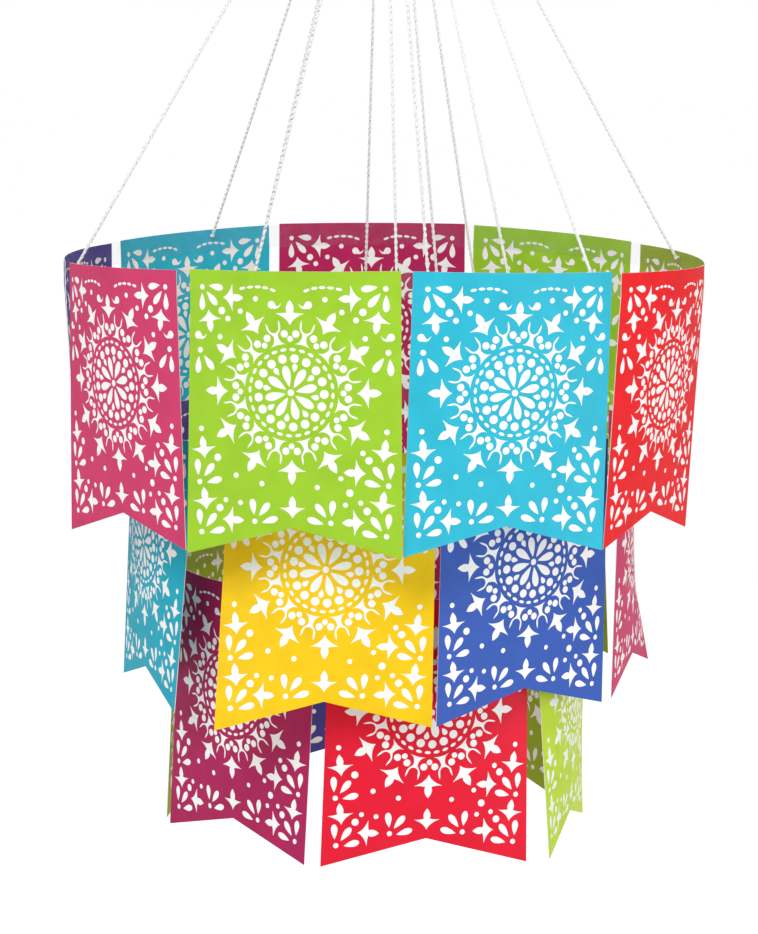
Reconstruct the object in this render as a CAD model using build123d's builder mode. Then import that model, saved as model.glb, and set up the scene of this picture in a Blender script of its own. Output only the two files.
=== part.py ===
from build123d import *
import os
from math import cos, degrees, radians, sin

# Paper flag chandelier: three hoops of clear strip, one below the other, each dressed with
# notched flags of printed card and hung by four taut strings from one small ring.
# Millimetres. +Z is up and -Y is the front. The origin is where the hook bears, at the top
# of the ring's opening. Angles round the axis count from the front towards +X.

# Hanging ring
ring_opening = 40.0
ring_wire = 3.0

# Flags
flag_width = 129.0
flag_height = 164.5
notch_depth = 16.5
tail_tip = 0.6
card_thickness = 0.4
tail_curve = 1500.0

# Clear strips and the glue between strip and flag
strip_height = 15.0
strip_thickness = 0.3
glue_line = 0.25

# Hoops: radius of the strip's outer face, depth of its top edge below the origin, how far it
# sags at its left and right and rises at its front and back, and how steeply its right hangs
# lower than its left, as a share of the distance across
top_radius = 199.7
middle_radius = 158.5
bottom_radius = 130.5
top_depth = 332.0
middle_depth = 438.0
bottom_depth = 529.7
top_sag = 4.0
middle_sag = 0.5
bottom_sag = 0.5
top_tilt = 0.0
middle_tilt = 0.0
bottom_tilt = 0.025

# Strings
string_diameter = 2.2
string_clearance = 0.05
tie_spacing = 8.0
upper_knot = 3.1
lower_knot = 3.2
hole_diameter = 2.8
hole_depth = 4.0

# Each flag: colour, angle of its middle, how far its lower end leans out, and how far that
# end is turned about the vertical, all in degrees, as the cards hang in the photograph.
top_flags = [
    ("pink", -55.6, -3.4, 1.9),
    ("green", -15.8, 0.5, 1.3),
    ("teal", 23.1, -2.9, 1.1),
    ("red", 62.3, -6.0, 0.6),
    ("olive", 104.0, -7.5, 1.5),
    ("green", 143.7, 0.5, -1.0),
    ("magenta", 182.5, -0.5, 1.0),
    ("teal", 221.6, 0.8, -1.5),
    ("indigo", 261.5, -6.0, 1.0),
]
middle_flags = [
    ("teal", -68.8, -0.8, -3.2),
    ("yellow", -11.9, 3.2, 17.0),
    ("blue", 36.0, -5.0, 1.0),
    ("pink", 89.4, 0.4, -14.0),
    ("olive", 139.5, -1.0, 1.5),
    ("magenta", 187.5, 0.5, 1.0),
    ("indigo", 240.5, -4.0, -2.0),
]
bottom_flags = [
    ("magenta", -45.5, -2.4, -2.2),
    ("red", 14.6, -2.4, -1.2),
    ("green", 73.8, -2.5, 3.8),
    ("olive", 131.5, -6.0, 1.0),
    ("indigo", 193.0, -3.5, -1.0),
    ("olive", 251.5, -2.5, 1.5),
]

# Angles at which each hoop's four strings are fastened
top_strings = [-73.0, 37.9, 107.6, 215.9]
middle_strings = [-41.0, 12.8, 152.1, 185.2]
bottom_strings = [-104.5, 6.0, 67.4, 156.4]

ring_radius = (ring_opening + ring_wire) / 2
ring_centre_z = -ring_opening / 2
tie_radius = (ring_wire + string_diameter) / 2 + string_clearance
strip_inner_gap = strip_thickness + lower_knot / 2 + glue_line


def outward(angle):
    """Unit vector that points away from the axis at an angle round it."""
    return Vector(sin(radians(angle)), -cos(radians(angle)), 0)


def sideways(angle):
    """Unit vector along a hoop, to the right of someone who faces it."""
    return Vector(cos(radians(angle)), sin(radians(angle)), 0)


def hoop_rise(angle, radius, sag, tilt):
    """How far a hanging hoop's edge stands above its mean level at an angle."""
    return sag * cos(radians(2 * angle)) - tilt * radius * sin(radians(angle))


def card_frame(angle, radius, depth, sag, tilt):
    """Plane at the middle of a flag's top edge: X along the hoop, Y inward, Z up."""
    slope = -2 * sag * sin(radians(2 * angle)) / radius - tilt * cos(radians(angle))
    along = sideways(angle) + Vector(0, 0, slope)
    top_z = hoop_rise(angle, radius, sag, tilt) - depth
    middle = outward(angle) * radius + Vector(0, 0, top_z)
    return Plane(origin=middle, x_dir=along, z_dir=along.cross(-outward(angle)))


def card_section(plane, curve_radius):
    """Sketch of the card cut level: a thin bow that stands on the plane's origin."""
    half_angle = degrees(flag_width / 2 / curve_radius)
    outer_radius = curve_radius + card_thickness / 2
    inner_radius = curve_radius - card_thickness / 2
    with BuildSketch(plane) as section:
        with BuildLine():
            outer = CenterArc((0, curve_radius), outer_radius, -90 - half_angle, 2 * half_angle)
            inner = CenterArc((0, curve_radius), inner_radius, -90 - half_angle, 2 * half_angle)
            Line(outer @ 0, inner @ 0)
            Line(outer @ 1, inner @ 1)
        make_face()
    return section.sketch


def build_flag(hoop, angle, lean, turn):
    """One notched flag: bowed where it is glued to the hoop, nearly flat at its tails."""
    radius, depth, sag, tilt = hoop
    card_radius = radius + glue_line + card_thickness / 2
    free_height = flag_height - strip_height
    top_plane = card_frame(angle, card_radius, depth, sag, tilt)
    lean_in = -free_height * sin(radians(lean))
    drop = strip_height + free_height * cos(radians(lean))
    bond_plane = top_plane.offset(-strip_height)
    tail_plane = Plane(top_plane.location * Location((0, lean_in, -drop), (0, 0, turn)))
    notch_plane = Plane(origin=tail_plane.origin, x_dir=tail_plane.x_dir, z_dir=-tail_plane.y_dir)
    half_notch = tail_curve * sin(flag_width / 2 / tail_curve) - tail_tip
    with BuildPart() as flag:
        add(card_section(bond_plane, card_radius))
        extrude(amount=strip_height)
        loft(
            sections=[card_section(bond_plane, card_radius), card_section(tail_plane, tail_curve)],
            ruled=True,
        )
        with BuildSketch(notch_plane):
            with BuildLine():
                Polyline(
                    (-half_notch, 0),
                    (0, notch_depth),
                    (half_notch, 0),
                    (half_notch, -notch_depth),
                    (-half_notch, -notch_depth),
                    close=True,
                )
            make_face()
        extrude(amount=notch_depth, both=True, mode=Mode.SUBTRACT)
    return flag


def build_strip(hoop, string_angles):
    """A hoop of clear strip, bent a little like a saddle, with a hole for each string end."""
    radius, depth, sag, tilt = hoop
    bend_radius = radius**2 / (4 * sag)
    bend_centre = (-tilt * bend_radius, sag - depth - bend_radius * (1 - tilt**2 / 2))
    spare = 2 * sag + tilt * radius
    with BuildPart() as strip:
        with BuildSketch(Plane.XY.offset(spare - depth)):
            Circle(radius)
            Circle(radius - strip_thickness, mode=Mode.SUBTRACT)
        extrude(amount=-strip_height - 2 * spare)
        with BuildSketch(Plane.XZ):
            with Locations(bend_centre):
                Circle(bend_radius)
                Circle(bend_radius - strip_height, mode=Mode.SUBTRACT)
        extrude(amount=2 * radius, both=True, mode=Mode.INTERSECT)
        for angle in string_angles:
            hole_z = hoop_rise(angle, radius, sag, tilt) - depth - hole_depth
            hole_origin = outward(angle) * (radius - strip_thickness / 2) + Vector(0, 0, hole_z)
            with BuildSketch(Plane(origin=hole_origin, z_dir=outward(angle))):
                Circle(hole_diameter / 2)
            extrude(amount=hole_diameter, both=True, mode=Mode.SUBTRACT)
    return strip


def build_string(hoop, angle, tie_angle):
    """One string: a turn round the ring, a knot, the taut run and the end through its hole."""
    radius, depth, sag, tilt = hoop
    tie_outward = Vector(sin(radians(tie_angle)), 0, -cos(radians(tie_angle)))
    tie_axis = Vector(cos(radians(tie_angle)), 0, sin(radians(tie_angle)))
    tie_centre = Vector(0, 0, ring_centre_z) + tie_outward * ring_radius
    knot = tie_centre + tie_outward * (tie_radius + upper_knot / 2 - string_diameter / 2)
    hole_z = hoop_rise(angle, radius, sag, tilt) - depth - hole_depth
    elbow = outward(angle) * (radius - strip_inner_gap) + Vector(0, 0, hole_z)
    run = (elbow - knot).normalized()
    with BuildPart() as string:
        with BuildSketch(Plane(origin=tie_centre, x_dir=tie_outward, z_dir=(0, 1, 0))):
            with Locations((tie_radius, 0)):
                Circle(string_diameter / 2)
        revolve(axis=Axis(tie_centre, tie_axis))
        with Locations(Plane(origin=knot, z_dir=run)):
            Sphere(upper_knot / 2)
        with BuildSketch(Plane(origin=knot, z_dir=run)):
            Circle(string_diameter / 2)
        extrude(amount=(elbow - knot).length)
        with Locations(Plane(origin=elbow, z_dir=run)):
            Sphere(lower_knot / 2)
        with BuildSketch(Plane(origin=elbow, z_dir=outward(angle))):
            Circle(string_diameter / 2)
        extrude(amount=strip_inner_gap)
    return string


def save(piece, name):
    """Label one finished piece and write it."""
    piece.part.label = name
    export_step(piece.part, f"parts/{name}.step")


os.makedirs("parts", exist_ok=True)

with BuildPart() as hanging_ring:
    with BuildSketch(Plane.YZ):
        with Locations((0, ring_centre_z - ring_radius)):
            Circle(ring_wire / 2)
    revolve(axis=Axis((0, 0, ring_centre_z), (0, 1, 0)))
save(hanging_ring, "hanging_ring")

top_hoop = (top_radius, top_depth, top_sag, top_tilt)
middle_hoop = (middle_radius, middle_depth, middle_sag, middle_tilt)
bottom_hoop = (bottom_radius, bottom_depth, bottom_sag, bottom_tilt)
tiers = [
    ("top", top_hoop, top_flags, top_strings),
    ("middle", middle_hoop, middle_flags, middle_strings),
    ("bottom", bottom_hoop, bottom_flags, bottom_strings),
]

# The strings are tied side by side along the ring's lower arc, in the order in which they
# fan out from left to right.
string_ends = [
    (radius * sin(radians(angle)) / depth, tier, number)
    for tier, (radius, depth, _, _), _, angles in tiers
    for number, angle in enumerate(angles, start=1)
]
tie_order = {(tier, number): place for place, (_, tier, number) in enumerate(sorted(string_ends))}
first_tie = -tie_spacing * (len(tie_order) - 1) / 2

for tier, hoop, flags, angles in tiers:
    save(build_strip(hoop, angles), f"{tier}_strip")
    for number, (colour, angle, lean, turn) in enumerate(flags, start=1):
        save(build_flag(hoop, angle, lean, turn), f"{tier}_flag_{number}_{colour}")
    for number, angle in enumerate(angles, start=1):
        tie_angle = first_tie + tie_spacing * tie_order[(tier, number)]
        save(build_string(hoop, angle, tie_angle), f"{tier}_string_{number}")
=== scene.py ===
import bpy
import numpy as np
from math import cos, pi, radians, sin, sqrt
from mathutils import Euler, Matrix, Vector
from mathutils.geometry import delaunay_2d_cdt


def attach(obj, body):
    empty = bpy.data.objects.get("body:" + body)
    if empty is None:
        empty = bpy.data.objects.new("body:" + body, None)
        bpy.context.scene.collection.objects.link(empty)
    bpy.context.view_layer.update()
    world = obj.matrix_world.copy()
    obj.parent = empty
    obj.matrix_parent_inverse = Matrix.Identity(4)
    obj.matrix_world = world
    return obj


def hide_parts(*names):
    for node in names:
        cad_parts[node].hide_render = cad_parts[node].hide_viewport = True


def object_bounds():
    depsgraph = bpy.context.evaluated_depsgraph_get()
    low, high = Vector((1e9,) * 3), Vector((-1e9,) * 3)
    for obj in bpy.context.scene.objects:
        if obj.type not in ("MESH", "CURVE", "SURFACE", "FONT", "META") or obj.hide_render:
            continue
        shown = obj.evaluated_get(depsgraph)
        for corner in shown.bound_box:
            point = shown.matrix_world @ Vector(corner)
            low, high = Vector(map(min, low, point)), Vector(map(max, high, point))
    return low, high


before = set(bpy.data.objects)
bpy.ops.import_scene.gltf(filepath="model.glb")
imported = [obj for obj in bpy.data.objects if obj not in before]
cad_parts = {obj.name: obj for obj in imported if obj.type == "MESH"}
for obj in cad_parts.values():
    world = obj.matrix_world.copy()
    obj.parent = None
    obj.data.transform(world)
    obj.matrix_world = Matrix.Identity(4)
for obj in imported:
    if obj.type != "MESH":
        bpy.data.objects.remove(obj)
cad_box = [list(corner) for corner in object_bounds()]


# Hanging ring
# A closed ring of 3 mm nickel-plated steel wire, 40 mm across inside, that goes over a
# ceiling hook. It is bent from straight wire and butt-welded, and every string is tied to it.

MM = 0.001
ring_opening = 40 * MM
ring_wire = 3 * MM
ring_radius = (ring_opening + ring_wire) / 2
ring_centre = Vector((0, 0, -ring_opening / 2))


def srgb(red, green, blue):
    """Colour for a shader socket from the three 0-255 values of a colour as it is seen."""
    shares = [value / 255 for value in (red, green, blue)]
    return [s / 12.92 if s <= 0.04045 else ((s + 0.055) / 1.055) ** 2.4 for s in shares] + [1]


def node_adder(tree):
    """Clears a node tree and gives a function that adds a node to it."""
    tree.nodes.clear()

    def add(kind, **settings):
        node = tree.nodes.new(kind)
        for key, value in settings.items():
            setattr(node, key, value)
        return node

    return add


def new_material(name):
    """A material with one surface shader: gives the material, a function that adds a node,
    one that joins two sockets, and the shader."""
    material = bpy.data.materials.new(name)
    material.use_nodes = True
    tree = material.node_tree
    add = node_adder(tree)
    output = add("ShaderNodeOutputMaterial")
    surface = add("ShaderNodeBsdfPrincipled")
    tree.links.new(surface.outputs["BSDF"], output.inputs["Surface"])
    return material, add, tree.links.new, surface


def grain(add, join, coordinates, size, detail=3):
    """Noise whose patches are about size metres across, in the object's own coordinates."""
    noise = add("ShaderNodeTexNoise")
    noise.inputs["Scale"].default_value = 1 / size
    noise.inputs["Detail"].default_value = detail
    join(coordinates.outputs["Object"], noise.inputs["Vector"])
    return noise


def spread(add, join, source, low, high):
    """Turns a noise into values from low to high."""
    scale = add("ShaderNodeMapRange")
    scale.inputs["From Min"].default_value = 0.3
    scale.inputs["From Max"].default_value = 0.7
    scale.inputs["To Min"].default_value = low
    scale.inputs["To Max"].default_value = high
    join(source.outputs["Fac"], scale.inputs["Value"])
    return scale


def emboss(add, join, source, surface, depth, strength):
    """Gives a surface the relief of a noise, depth metres from trough to crest."""
    bump = add("ShaderNodeBump")
    bump.inputs["Distance"].default_value = depth
    bump.inputs["Strength"].default_value = strength
    join(source.outputs["Fac"], bump.inputs["Height"])
    join(bump.outputs["Normal"], surface.inputs["Normal"])


def plated_steel():
    """Bright nickel with the faint draw marks of the wire."""
    material, add, join, surface = new_material("nickel_plated_steel")
    coordinates = add("ShaderNodeTexCoord")
    surface.inputs["Base Color"].default_value = srgb(206, 204, 198)
    surface.inputs["Metallic"].default_value = 1
    drawn = grain(add, join, coordinates, 3 * MM)
    roughness = spread(add, join, drawn, 0.18, 0.34)
    join(roughness.outputs["Result"], surface.inputs["Roughness"])
    fine = grain(add, join, coordinates, 0.4 * MM)
    emboss(add, join, fine, surface, 0.02 * MM, 0.3)
    return material


def finish_node(name, material):
    """A piece that keeps its CAD shape and gets its real finish."""
    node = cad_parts[name]
    node.data.materials.clear()
    node.data.materials.append(material)


finish_node("hanging_ring", plated_steel())


# Hoops
# Three bands of clear polypropylene film, 15 mm high and 0.3 mm thick, each closed to a hoop.
# They are slit from a roll, and the flags are glued to their outer face.

strip_height = 15 * MM
strip_thickness = 0.3 * MM
glue_line = 0.25 * MM

# Each hoop: radius of its outer face, depth of its top edge, how far it sags at its sides, and
# how steeply its right hangs lower than its left
hoops = {
    "top": (199.7 * MM, 332 * MM, 4 * MM, 0),
    "middle": (158.5 * MM, 438 * MM, 0.5 * MM, 0),
    "bottom": (130.5 * MM, 529.7 * MM, 0.5 * MM, 0.025),
}


def outward(angle):
    """Unit vector away from the axis, at an angle counted from the front towards +X."""
    return Vector((sin(radians(angle)), -cos(radians(angle)), 0))


def sideways(angle):
    """Unit vector along a hoop, to the right of someone who faces it."""
    return Vector((cos(radians(angle)), sin(radians(angle)), 0))


def hoop_rise(angle, radius, sag, tilt):
    """How far a hanging hoop's edge stands above its mean level at an angle."""
    return sag * cos(radians(2 * angle)) - tilt * radius * sin(radians(angle))


def clear_film():
    """Film that lets nearly all light straight through, with a faint gloss and haze."""
    material, add, join, surface = new_material("clear_polypropylene_film")
    coordinates = add("ShaderNodeTexCoord")
    surface.inputs["Base Color"].default_value = srgb(232, 231, 238)
    surface.inputs["IOR"].default_value = 1.49
    haze = grain(add, join, coordinates, 9 * MM)
    roughness = spread(add, join, haze, 0.12, 0.26)
    join(roughness.outputs["Result"], surface.inputs["Roughness"])
    ripple = grain(add, join, coordinates, 14 * MM, detail=1)
    emboss(add, join, ripple, surface, 0.1 * MM, 0.25)
    clear = add("ShaderNodeBsdfTransparent")
    clear.inputs["Color"].default_value = srgb(252, 252, 253)
    body = spread(add, join, haze, 0.01, 0.03)
    mix = add("ShaderNodeMixShader")
    join(body.outputs["Result"], mix.inputs["Fac"])
    join(clear.outputs["BSDF"], mix.inputs[1])
    join(surface.outputs["BSDF"], mix.inputs[2])
    output = material.node_tree.get_output_node("ALL")
    join(mix.outputs["Shader"], output.inputs["Surface"])
    return material


film = clear_film()
for tier in hoops:
    finish_node(f"{tier}_strip", film)


# Strings
# Twelve taut lengths of white two-ply cotton string, 2.2 mm thick, four to a hoop. Each is
# tied round the ring with a turn and a knot, and ends in a knot inside the strip at its hole.

string_diameter = 2.2 * MM
tie_clearance = 0.05 * MM
tie_spacing = 8.0
upper_knot = 3.1 * MM
lower_knot = 3.2 * MM
hole_depth = 4 * MM
ply_radius = 0.7 * MM
twist_length = 7.7 * MM
steps_in_twist = 7
ply_sides = 6

# Angles at which each hoop's strings are fastened
fastening_angles = {
    "top": [-73.0, 37.9, 107.6, 215.9],
    "middle": [-41.0, 12.8, 152.1, 185.2],
    "bottom": [-104.5, 6.0, 67.4, 156.4],
}


def cotton():
    """White cotton, a little uneven in tone and furry at its edges."""
    material, add, join, surface = new_material("white_cotton_string")
    coordinates = add("ShaderNodeTexCoord")
    shade = grain(add, join, coordinates, 2 * MM)
    colour = add("ShaderNodeMix", data_type="RGBA")
    colour.inputs["A"].default_value = srgb(236, 236, 236)
    colour.inputs["B"].default_value = srgb(250, 250, 249)
    join(shade.outputs["Fac"], colour.inputs["Factor"])
    join(colour.outputs["Result"], surface.inputs["Base Color"])
    surface.inputs["Roughness"].default_value = 0.85
    surface.inputs["Sheen Weight"].default_value = 1.0
    surface.inputs["Specular IOR Level"].default_value = 0.2
    fibre = grain(add, join, coordinates, 0.6 * MM, detail=1)
    emboss(add, join, fibre, surface, 0.02 * MM, 0.2)
    return material


def tube(centres, radius, sides, closed=False):
    """Points and faces of a round tube along a row of points."""
    centres = np.array(centres)
    if closed:
        along = np.roll(centres, -1, axis=0) - np.roll(centres, 1, axis=0)
    else:
        along = np.gradient(centres, axis=0)
    along /= np.linalg.norm(along, axis=1)[:, None]
    helper = np.where(np.abs(along[:, 2:]) < 0.9, [[0.0, 0.0, 1.0]], [[1.0, 0.0, 0.0]])
    across = np.cross(along, helper)
    across /= np.linalg.norm(across, axis=1)[:, None]
    beside = np.cross(along, across)
    turns = 2 * pi * np.arange(sides) / sides
    points = (
        centres[:, None, :]
        + radius * np.cos(turns)[None, :, None] * across[:, None, :]
        + radius * np.sin(turns)[None, :, None] * beside[:, None, :]
    )
    rings = len(centres)
    faces = []
    for ring in range(rings if closed else rings - 1):
        following = (ring + 1) % rings
        for side in range(sides):
            beyond = (side + 1) % sides
            faces.append(
                (
                    ring * sides + side,
                    ring * sides + beyond,
                    following * sides + beyond,
                    following * sides + side,
                )
            )
    if not closed:
        faces.append(tuple(reversed(range(sides))))
        faces.append(tuple((rings - 1) * sides + side for side in range(sides)))
    return points.reshape(-1, 3), faces


def plies(route, across, beside, closed=False):
    """The two strands of a twisted string whose middle follows route. across and beside are
    square to it and to each other."""
    offset = string_diameter / 2 - ply_radius
    turns = 2 * pi * np.arange(len(route)) / steps_in_twist
    strands = []
    for phase in (0, pi):
        swing = np.cos(turns + phase)[:, None] * across + np.sin(turns + phase)[:, None] * beside
        strands.append(tube(route + offset * swing, ply_radius, ply_sides, closed))
    return strands


def straight_plies(start, end):
    """A taut run of twisted string."""
    run = np.array(end - start)
    length = np.linalg.norm(run)
    count = int(length / twist_length * steps_in_twist) + 1
    direction = run / length
    across = np.cross(direction, [0.0, 1.0, 0.0])
    across /= np.linalg.norm(across)
    route = np.array(start) + np.linspace(0, 1, count)[:, None] * run
    return plies(route, across, np.cross(direction, across))


def looped_plies(centre, radius, first_axis, second_axis):
    """A closed turn of twisted string round the ring's wire."""
    twists = max(round(2 * pi * radius / twist_length), 3)
    count = twists * steps_in_twist
    turns = 2 * pi * np.arange(count) / count
    away = np.cos(turns)[:, None] * np.array(first_axis) + np.sin(turns)[:, None] * np.array(second_axis)
    route = np.array(centre) + radius * away
    across_loop = np.array(first_axis.cross(second_axis))
    return plies(route, away, across_loop, closed=True)


def knot_tube(centre, size, axis):
    """An overhand knot pulled tight, drawn as a small trefoil about an axis."""
    cord_radius = string_diameter / 4
    trefoil_reach = 3
    knot_height = 1.6
    steps = 36
    cord_sides = 8
    scale = (size / 2 - cord_radius) / trefoil_reach
    turns = 2 * pi * np.arange(steps) / steps
    trefoil = np.stack(
        [
            np.sin(turns) + 2 * np.sin(2 * turns),
            np.cos(turns) - 2 * np.cos(2 * turns),
            -knot_height * np.sin(3 * turns),
        ],
        axis=1,
    )
    turn = np.array(Vector((0, 0, 1)).rotation_difference(axis).to_matrix())
    return tube(np.array(centre) + scale * trefoil @ turn.T, cord_radius, cord_sides, closed=True)


def add_piece(name, parts, materials, smooth_angle=None):
    """One object from several lists of points and faces. Every face is smooth, up to
    smooth_angle where one is given."""
    points = []
    faces = []
    count = 0
    for part_points, part_faces in parts:
        points.append(part_points)
        faces.extend(tuple(count + corner for corner in face) for face in part_faces)
        count += len(part_points)
    mesh = bpy.data.meshes.new(name)
    mesh.from_pydata(np.concatenate(points).tolist(), [], faces)
    mesh.shade_smooth()
    if smooth_angle is not None:
        mesh.set_sharp_from_angle(angle=smooth_angle)
    for material in materials:
        mesh.materials.append(material)
    piece = bpy.data.objects.new(name, mesh)
    bpy.context.scene.collection.objects.link(piece)
    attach(piece, "root")
    return piece


# The strings are tied side by side along the ring's lower arc, in the order in which they
# fan out from left to right.
string_ends = sorted(
    (radius * sin(radians(angle)) / depth, tier, number)
    for tier, (radius, depth, _, _) in hoops.items()
    for number, angle in enumerate(fastening_angles[tier], start=1)
)
first_tie = -tie_spacing * (len(string_ends) - 1) / 2
tie_radius = (ring_wire + string_diameter) / 2 + tie_clearance
strip_inner_gap = strip_thickness + lower_knot / 2 + glue_line
white_cotton = cotton()

for place, (_, tier, number) in enumerate(string_ends):
    radius, depth, sag, tilt = hoops[tier]
    angle = fastening_angles[tier][number - 1]
    tie_angle = radians(first_tie + tie_spacing * place)
    tie_outward = Vector((sin(tie_angle), 0, -cos(tie_angle)))
    tie_centre = ring_centre + ring_radius * tie_outward
    knot = tie_centre + (tie_radius + (upper_knot - string_diameter) / 2) * tie_outward
    hole_z = hoop_rise(angle, radius, sag, tilt) - depth - hole_depth
    hole_height = Vector((0, 0, hole_z))
    elbow = (radius - strip_inner_gap) * outward(angle) + hole_height
    end = radius * outward(angle) + hole_height
    run = (elbow - knot).normalized()
    parts = looped_plies(tie_centre, tie_radius, tie_outward, Vector((0, 1, 0)))
    parts += [knot_tube(knot, upper_knot, run)]
    parts += straight_plies(knot, elbow)
    parts += [knot_tube(elbow, lower_knot, run)]
    parts += straight_plies(elbow, end)
    string = add_piece(f"{tier}_string_{number}_twisted", parts, [white_cotton])
    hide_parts(f"{tier}_string_{number}")


# Flags
# Twenty-two sheets of 0.4 mm card, die-cut with a V notch and printed the same on both faces
# in one solid colour with the ornament left white. Each is glued to its hoop by its top 15 mm.

flag_width = 129 * MM
flag_height = 164.5 * MM
notch_depth = 16.5 * MM
tail_tip = 0.6 * MM
card_thickness = 0.4 * MM
tail_curve = 1500 * MM

# Each flag: colour, angle of its middle, how far its lower end leans out, and how far that
# end is turned about the vertical, in degrees
flags = {
    "top": [
        ("pink", -55.6, -3.4, 1.9),
        ("green", -15.8, 0.5, 1.3),
        ("teal", 23.1, -2.9, 1.1),
        ("red", 62.3, -6.0, 0.6),
        ("olive", 104.0, -7.5, 1.5),
        ("green", 143.7, 0.5, -1.0),
        ("magenta", 182.5, -0.5, 1.0),
        ("teal", 221.6, 0.8, -1.5),
        ("indigo", 261.5, -6.0, 1.0),
    ],
    "middle": [
        ("teal", -68.8, -0.8, -3.2),
        ("yellow", -11.9, 3.2, 17.0),
        ("blue", 36.0, -5.0, 1.0),
        ("pink", 89.4, 0.4, -14.0),
        ("olive", 139.5, -1.0, 1.5),
        ("magenta", 187.5, 0.5, 1.0),
        ("indigo", 240.5, -4.0, -2.0),
    ],
    "bottom": [
        ("magenta", -45.5, -2.4, -2.2),
        ("red", 14.6, -2.4, -1.2),
        ("green", 73.8, -2.5, 3.8),
        ("olive", 131.5, -6.0, 1.0),
        ("indigo", 193.0, -3.5, -1.0),
        ("olive", 251.5, -2.5, 1.5),
    ],
}

card_colours = {
    "pink": srgb(206, 58, 106),
    "green": srgb(156, 204, 46),
    "teal": srgb(44, 184, 210),
    "red": srgb(236, 26, 34),
    "olive": srgb(158, 178, 40),
    "magenta": srgb(184, 30, 92),
    "indigo": srgb(76, 66, 150),
    "yellow": srgb(244, 200, 16),
    "blue": srgb(56, 92, 180),
}

# A few cards of the lower tiers get lighter or darker copies of the inks above: painted light and shade
# for how light falls on them
lit_and_shaded_card_colours = {
    "middle_flag_1_teal": srgb(16, 168, 192),
    "bottom_flag_1_magenta": srgb(172, 26, 88),
    "bottom_flag_2_red": srgb(226, 20, 50),
    "bottom_flag_3_green": srgb(192, 220, 52),
}


def curve(start, control, end, steps):
    """Points of a curve from start, bent towards control. The end point is left out."""
    points = []
    for step in range(steps):
        t = step / steps
        a, b, c = (1 - t) ** 2, 2 * t * (1 - t), t**2
        x = a * start[0] + b * control[0] + c * end[0]
        z = a * start[1] + b * control[1] + c * end[1]
        points.append((x, z))
    return points


def mirrored(points):
    """The same outline on the other side of the middle line."""
    return [(-x, z) for x, z in reversed(points)]


def placed(points, x, z, turn=0.0, size=1.0):
    """An outline turned counterclockwise by so many degrees, scaled and moved to x, z."""
    c, s = cos(radians(turn)) * size, sin(radians(turn)) * size
    return [(x + c * px - s * pz, z + s * px + c * pz) for px, pz in points]


def dot(x, z, radius, sides=16):
    """A round bead."""
    return [
        (x + radius * cos(2 * pi * side / sides), z + radius * sin(2 * pi * side / sides))
        for side in range(sides)
    ]


def drop(tip, end, width):
    """A seed with a sharp tip and a rounded end."""
    length = sqrt((end[0] - tip[0]) ** 2 + (end[1] - tip[1]) ** 2)
    half = width / 2
    right = curve((0, 0), (half * 0.9, length * 0.35), (half, length * 0.66), 4)
    right += curve((half, length * 0.66), (half * 0.85, length * 0.97), (0, length), 4)
    left = [(-x, z) for x, z in reversed(right[1:])]
    along_x, along_z = (end[0] - tip[0]) / length, (end[1] - tip[1]) / length
    outline = right + [(0, length)] + left
    return [(tip[0] + x * along_z + z * along_x, tip[1] - x * along_x + z * along_z) for x, z in outline]


def dash(x, z, turn, length, width):
    """A short flat oval."""
    outline = [(length / 2 * px, width / 2 * pz) for px, pz in dot(0, 0, 1, sides=12)]
    return placed(outline, x, z, turn)


def tulip(x, z, turn, size=1.0):
    """A bud between two thin leaves on a pointed foot. At no turn the bud points up."""
    foot, leaf, fork, bud = (0, -5.0), (8.0, 1.3), (1.7, 1.9), (0, 8.3)
    right = curve(foot, (1.6, -0.9), leaf, 6)
    right += curve(leaf, (4.2, 1.1), fork, 4)
    right += curve(fork, (3.2, 4.8), bud, 5)
    left = [(-px, pz) for px, pz in reversed(right[1:])]
    return placed(right + [bud] + left, x, z, turn, size)


def comma(x, z, turn, flip=1):
    """A dot whose tail curls up beside it, to the right, or to the left where flip is -1."""
    around = [(2.3 * cos(radians(a)), 2.3 * sin(radians(a))) for a in range(60, 301, 24)]
    tail = curve((1.2, -2.2), (4.6, -3.0), (5.9, 1.2), 6)
    back = curve((5.9, 1.2), (4.0, -1.6), (2.0, -0.4), 5)
    outline = around + tail + back + [(2.2, 0.6)]
    return placed([(flip * px, pz) for px, pz in outline], x, z, turn)


def crown_unit(turn):
    """One of the horned figures round the rosette, with the round bead on each side of it."""
    foot, neck, horn, cup = (4.9, 27.7), (1.3, 33.4), (4.1, 42.2), (0, 35.3)
    right = curve(foot, (1.4, 28.8), neck, 5)
    right += curve(neck, (1.6, 34.4), (3.1, 35.8), 3)
    right += curve((3.1, 35.8), (4.9, 37.8), horn, 5)
    right += curve(horn, (3.3, 40.6), (3.1, 38.6), 3)
    right += curve((3.1, 38.6), (3.0, 35.7), cup, 5)
    left = [(-x, z) for x, z in reversed(right)]
    hem = [(-2.4, 28.1), (0, 28.3), (2.4, 28.1)]
    figure = right + [cup] + left + hem
    beads = [placed(dot(0, 34.0, 2.2), 0, 0, turn + side * 9.2) for side in (-1, 1)]
    return [placed(figure, 0, 0, turn)] + beads


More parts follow.
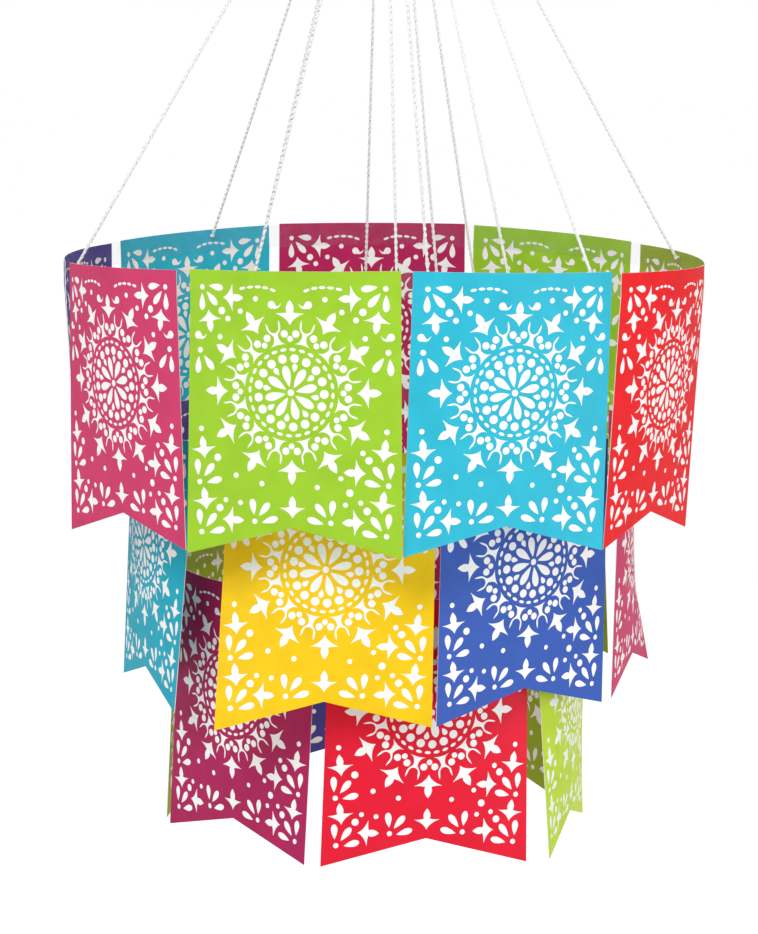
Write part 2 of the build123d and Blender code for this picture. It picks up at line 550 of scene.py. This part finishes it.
def rosette():
    """The round ornament, centred on 0, 0: a flower, a ring of beads, a ring of dashes, the
    crown of horned figures and twelve tulips that point away from it."""
    shapes = [dot(0, 0, 2.0)]
    for place in range(8):
        turn = 12.5 - 45 * place
        shapes.append(placed(drop((0, 3.2), (0, 15.9), 5.0), 0, 0, turn))
        shapes.append(placed(drop((0, 12.0), (0, 16.9), 3.3), 0, 0, turn - 22.5))
    for place in range(17):
        shapes.append(placed(dot(0, 19.8, 2.6), 0, 0, -7.2 - place * 360 / 17))
    for place in range(28):
        turn = -3.3 - place * 360 / 28
        shapes.append(placed(dash(0, 24.9, 0, 3.8, 1.9), 0, 0, turn))
    for place in range(12):
        turn = 30 * place
        shapes += crown_unit(turn + 15)
        shapes.append(placed(dot(0, 31.0, 1.75), 0, 0, turn))
        shapes.append(placed(tulip(0, 44.2, 0, 1.1), 0, 0, turn))
    return shapes


def corner_ornament():
    """What stands between the rosette and the flag's right edge, in mm from the middle of the
    top edge. The left side has the same, mirrored."""
    shapes = [
        dot(x, z, radius)
        for x, z, radius in [
            (55.7, -10.0, 1.6),
            (42.6, -23.3, 2.2),
            (38.6, -27.8, 1.7),
            (30.5, -23.3, 1.6),
            (20.8, -16.0, 1.6),
            (43.8, -38.4, 1.6),
            (57.0, -46.4, 1.7),
            (56.0, -91.8, 1.6),
            (45.5, -108.2, 2.2),
            (56.9, -122.7, 1.6),
            (44.2, -137.4, 2.2),
            (40.5, -132.7, 1.5),
            (31.5, -134.0, 1.5),
            (55.5, -151.8, 1.6),
            (22.8, -144.7, 1.6),
        ]
    ]
    shapes += [
        drop(tip, end, 4.1)
        for tip, end in [
            ((51.2, -9.0), (41.6, -10.3)),
            ((52.8, -12.5), (45.7, -20.2)),
            ((55.9, -13.5), (55.8, -23.4)),
            ((58.0, -50.0), (58.5, -59.8)),
            ((54.5, -49.4), (48.1, -57.5)),
            ((57.8, -119.0), (58.5, -109.6)),
            ((54.1, -119.6), (48.0, -111.9)),
            ((52.4, -123.0), (42.9, -120.5)),
            ((56.4, -147.9), (57.1, -138.7)),
            ((52.7, -148.8), (46.6, -140.8)),
            ((50.7, -152.1), (41.2, -149.6)),
            ((23.2, -140.9), (24.3, -131.6)),
            ((20.2, -141.6), (13.9, -133.7)),
            ((18.6, -145.4), (8.8, -142.4)),
        ]
    ]
    shapes += [
        dash(x, z, turn, 3.9, 1.7)
        for x, z, turn in [
            (29.0, -10.1, -12),
            (24.1, -9.3, -6),
            (19.3, -9.1, 0),
            (14.7, -9.5, 8),
            (10.1, -10.8, 20),
        ]
    ]
    shapes += [
        tulip(36.8, -15.6, 90),
        tulip(50.9, -27.8, 172),
        tulip(54.4, -104.2, -8),
        tulip(53.2, -134.0, -8),
        tulip(37.6, -144.1, 92),
        comma(58.5, -37.8, 0, flip=-1),
        comma(11.0, -19.2, 0, flip=-1),
    ]
    return shapes


def ornament():
    """Every white shape of a flag, in mm from the middle of its top edge."""
    rosette_depth = 69.6
    shapes = [placed(shape, 0, -rosette_depth) for shape in rosette()]
    for shape in corner_ornament():
        shapes += [shape, mirrored(shape)]
    shapes += [tulip(0, -137.6, 0), tulip(38.9, -115.5, 88)]
    for x, z, radius in [
        (-34.0, -118.2, 1.6),
        (-18.2, -122.6, 1.6),
        (42.0, -104.0, 1.6),
        (34.2, -127.0, 2.2),
        (29.0, -118.8, 1.5),
        (15.0, -124.1, 1.5),
    ]:
        shapes.append(dot(x, z, radius))
    return shapes


def wound_left(outline):
    """The outline with its points counterclockwise."""
    area = sum(a[0] * b[1] - b[0] * a[1] for a, b in zip(outline, outline[1:] + outline[:1]))
    return outline if area > 0 else outline[::-1]


def flag_pattern():
    """A flag laid flat, cut into triangles along the edges of its print. Gives the points in
    metres from the middle of the top edge, the triangles, which of them are white, and the
    border as pairs of points."""
    half_width = flag_width / 2 / MM
    height = flag_height / MM
    notch = notch_depth / MM
    tip = tail_tip / MM
    cut = [
        (-half_width, 0),
        (-half_width, -height),
        (-half_width + tip, -height),
        (0, notch - height),
        (half_width - tip, -height),
        (half_width, -height),
        (half_width, 0),
    ]
    outlines = [wound_left(cut)] + [wound_left(shape) for shape in ornament()]
    points = []
    polygons = []
    for outline in outlines:
        polygons.append(list(range(len(points), len(points) + len(outline))))
        points += [Vector(point) for point in outline]
    columns, rows = 22, 15
    notch_margin = 0.5
    for row in range(rows + 1):
        for column in range(columns + 1):
            x = half_width * (2 * column / columns - 1)
            z = -height * row / rows
            if z > notch * (1 - abs(x) / half_width) - height + notch_margin:
                points.append(Vector((x, z)))
    crease = strip_height / MM
    for column in range(columns + 1):
        points.append(Vector((half_width * (2 * column / columns - 1), -crease)))
    inside_only = 1
    smallest_step = 1e-4
    flat, _, cut_up, _, _, sources = delaunay_2d_cdt(
        points, [], polygons, inside_only, smallest_step, True
    )
    card = [(triangle, found) for triangle, found in zip(cut_up, sources) if 0 in found]
    triangles = [triangle for triangle, _ in card]
    white = [max(found) > 0 for _, found in card]
    edges = [edge for triangle in triangles for edge in zip(triangle, triangle[1:] + triangle[:1])]
    edge_set = set(edges)
    border = [(a, b) for a, b in edges if (b, a) not in edge_set]
    return np.array([tuple(point) for point in flat]) * MM, triangles, white, border


def on_card(flat, hoop, angle, lean, turn, side):
    """Takes points of the flat flag to one face of a hung card. side is +1 for the outer face
    and -1 for the inner one."""
    radius, depth, sag, tilt = hoop
    card_radius = radius + glue_line + card_thickness / 2
    slope = -2 * sag * sin(radians(2 * angle)) / card_radius - tilt * cos(radians(angle))
    along = (sideways(angle) + Vector((0, 0, slope))).normalized()
    upward = along.cross(-outward(angle)).normalized()
    inward = upward.cross(along)
    top_z = hoop_rise(angle, card_radius, sag, tilt) - depth
    top = card_radius * outward(angle) + Vector((0, 0, top_z))
    free_height = flag_height - strip_height
    x, down = flat[:, 0], -flat[:, 1]
    half = side * card_thickness / 2

    def bow(curve_radius):
        turns = x / curve_radius
        away = curve_radius + half
        return np.stack([away * np.sin(turns), curve_radius - away * np.cos(turns)], axis=1)

    crease_bow = bow(card_radius)
    tail_bow = bow(tail_curve)
    c, s = cos(radians(turn)), sin(radians(turn))
    tail_bow = tail_bow @ np.array([[c, s], [-s, c]])
    tail_bow[:, 1] -= free_height * sin(radians(lean))
    share = np.clip((down - strip_height) / free_height, 0, 1)[:, None]
    level = (1 - share) * crease_bow + share * tail_bow
    bonded = np.minimum(down, strip_height)
    drop_height = bonded + share[:, 0] * free_height * cos(radians(lean))
    return (
        np.array(top)
        + level[:, :1] * np.array(along)
        + level[:, 1:] * np.array(inward)
        - drop_height[:, None] * np.array(upward)
    )


def printed_card(name, colour):
    """Solid ink on smooth card: an even colour with a faint mottle and the card's fine tooth."""
    material, add, join, surface = new_material(name)
    coordinates = add("ShaderNodeTexCoord")
    mottle = grain(add, join, coordinates, 18 * MM)
    shade = spread(add, join, mottle, 0.94, 1.05)
    ink = add("ShaderNodeHueSaturation")
    ink.inputs["Color"].default_value = colour
    join(shade.outputs["Result"], ink.inputs["Value"])
    join(ink.outputs["Color"], surface.inputs["Base Color"])
    surface.inputs["Specular IOR Level"].default_value = 0.2
    patch = grain(add, join, coordinates, 4 * MM)
    roughness = spread(add, join, patch, 0.46, 0.58)
    join(roughness.outputs["Result"], surface.inputs["Roughness"])
    tooth = grain(add, join, coordinates, 0.5 * MM)
    emboss(add, join, tooth, surface, 0.03 * MM, 0.35)
    return material


def bare_card(name, colour):
    """The card's own white, where no ink lies, and at its cut edges."""
    material, add, join, surface = new_material(name)
    coordinates = add("ShaderNodeTexCoord")
    fibres = grain(add, join, coordinates, 1.5 * MM)
    shade = spread(add, join, fibres, 0.96, 1.0)
    paper = add("ShaderNodeHueSaturation")
    paper.inputs["Color"].default_value = colour
    join(shade.outputs["Result"], paper.inputs["Value"])
    join(paper.outputs["Color"], surface.inputs["Base Color"])
    surface.inputs["Roughness"].default_value = 0.62
    tooth = grain(add, join, coordinates, 0.4 * MM)
    emboss(add, join, tooth, surface, 0.04 * MM, 0.4)
    return material


flat_flag, triangles, white_triangles, border = flag_pattern()
white_card = bare_card("white_card", srgb(250, 249, 247))
cut_edge = bare_card("cut_card_edge", srgb(240, 238, 234))
inks = {name: printed_card(f"{name}_printed_card", colour) for name, colour in card_colours.items()}
inner_start = len(flat_flag)
inner_faces = [tuple(inner_start + corner for corner in reversed(face)) for face in triangles]
edge_quads = [(a, inner_start + a, inner_start + b, b) for a, b in border]
flag_faces = triangles + inner_faces + edge_quads
ink_slot, white_slot, edge_slot = 0, 1, 2
print_slots = [white_slot if white else ink_slot for white in white_triangles]
face_slots = print_slots + print_slots + [edge_slot] * len(edge_quads)
edge_angle = radians(40)

for tier, tier_flags in flags.items():
    for number, (colour, angle, lean, turn) in enumerate(tier_flags, start=1):
        outer = on_card(flat_flag, hoops[tier], angle, lean, turn, 1)
        inner = on_card(flat_flag, hoops[tier], angle, lean, turn, -1)
        card_points = np.concatenate([outer, inner])
        node_name = f"{tier}_flag_{number}_{colour}"
        ink = inks[colour]
        # These cards take a lighter or darker copy of their ink: painted light and shade
        if node_name in lit_and_shaded_card_colours:
            ink = printed_card(f"{node_name}_lit_and_shaded_ink", lit_and_shaded_card_colours[node_name])
        materials = [ink, white_card, cut_edge]
        flag = add_piece(f"{node_name}_printed", [(card_points, flag_faces)], materials, edge_angle)
        flag.data.polygons.foreach_set("material_index", face_slots)
        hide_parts(node_name)


# Floor and light
# A pale floor half a metre under the lowest flag, a white room, and soft lamps in front, at
# both sides and behind, so that a colour looks about as it is written.

floor_drop = 0.5
floor_size = 60.0
floor_glow = 1.24
floor_glow_share = 0.72


def background_ray(add, join):
    """1 for a ray that shows the background as it is seen, straight or through film."""
    path = add("ShaderNodeLightPath")
    either = add("ShaderNodeMath", operation="MAXIMUM")
    join(path.outputs["Is Camera Ray"], either.inputs[0])
    join(path.outputs["Is Transmission Ray"], either.inputs[1])
    return either


def pale_floor():
    """Matt pale paint that a camera sees nearly white, with the object's shadow on it."""
    material = bpy.data.materials.new("pale_floor")
    material.use_nodes = True
    tree = material.node_tree
    add, join = node_adder(tree), tree.links.new
    output = add("ShaderNodeOutputMaterial")
    paint = add("ShaderNodeBsdfDiffuse")
    paint.inputs["Color"].default_value = srgb(222, 222, 222)
    glow = add("ShaderNodeEmission")
    glow.inputs["Strength"].default_value = floor_glow
    share = add("ShaderNodeMath", operation="MULTIPLY")
    share.inputs[1].default_value = floor_glow_share
    mix = add("ShaderNodeMixShader")
    join(background_ray(add, join).outputs["Value"], share.inputs[0])
    join(share.outputs["Value"], mix.inputs["Fac"])
    join(paint.outputs["BSDF"], mix.inputs[1])
    join(glow.outputs["Emission"], mix.inputs[2])
    join(mix.outputs["Shader"], output.inputs["Surface"])
    return material


floor_height = cad_box[0][2] - floor_drop
half_floor = floor_size / 2
floor_mesh = bpy.data.meshes.new("floor")
floor_mesh.from_pydata(
    [
        (-half_floor, -half_floor, floor_height),
        (half_floor, -half_floor, floor_height),
        (half_floor, half_floor, floor_height),
        (-half_floor, half_floor, floor_height),
    ],
    [],
    [(0, 1, 2, 3)],
)
floor_mesh.materials.append(pale_floor())
floor = bpy.data.objects.new("floor", floor_mesh)
bpy.context.scene.collection.objects.link(floor)


def white_room(light_strength, seen_strength):
    """A world that lights the object softly and is seen as plain white."""
    world = bpy.data.worlds.new("white_room")
    world.use_nodes = True
    tree = world.node_tree
    add, join = node_adder(tree), tree.links.new
    light = add("ShaderNodeBackground")
    light.inputs["Color"].default_value = (1, 1, 1, 1)
    light.inputs["Strength"].default_value = light_strength
    seen = add("ShaderNodeBackground")
    seen.inputs["Color"].default_value = (1, 1, 1, 1)
    seen.inputs["Strength"].default_value = seen_strength
    mix = add("ShaderNodeMixShader")
    output = add("ShaderNodeOutputWorld")
    join(background_ray(add, join).outputs["Value"], mix.inputs["Fac"])
    join(light.outputs["Background"], mix.inputs[1])
    join(seen.outputs["Background"], mix.inputs[2])
    join(mix.outputs["Shader"], output.inputs["Surface"])
    return world


bpy.context.scene.world = white_room(light_strength=0.52, seen_strength=1.0)

object_middle = Vector((0, 0, -0.51))


def soft_lamp(name, place, size, watts):
    """A square soft box that faces the middle of the object."""
    lamp_data = bpy.data.lights.new(name, "AREA")
    lamp_data.size = size
    lamp_data.energy = watts
    lamp = bpy.data.objects.new(name, lamp_data)
    lamp.location = place
    lamp.rotation_euler = (object_middle - Vector(place)).to_track_quat("-Z", "Y").to_euler()
    bpy.context.scene.collection.objects.link(lamp)


soft_lamp("front_lamp", (-0.8, -2.5, 1.4), 1.2, 46)
soft_lamp("right_lamp", (2.2, -1.3, -0.4), 1.2, 20)
soft_lamp("left_lamp", (-2.6, -0.6, -0.2), 1.2, 8)
soft_lamp("back_lamp", (0.2, 2.4, 1.2), 1.6, 60)


# Camera
# It stands 2.1 m in front, above the top hoop, and looks down a little, rolled by half a
# degree, as the photograph was taken.

photo_height = 934
focal_pixels = 3388.5
camera_place = (-2.4 * MM, -2122.8 * MM, -164.8 * MM)
camera_pitch = 0.1421
camera_roll = 0.0075

camera_data = bpy.data.cameras.new("camera")
camera_data.sensor_fit = "VERTICAL"
camera_data.sensor_height = 36
camera_data.lens = focal_pixels / photo_height * camera_data.sensor_height
camera = bpy.data.objects.new("camera", camera_data)
camera.location = camera_place
aim = Euler((pi / 2 - camera_pitch, 0, 0)).to_matrix() @ Matrix.Rotation(camera_roll, 3, "Z")
camera.rotation_euler = aim.to_euler()
bpy.context.scene.collection.objects.link(camera)
bpy.context.scene.camera = camera
bpy.context.scene.view_settings.view_transform = "Standard"


bpy.context.view_layer.update()
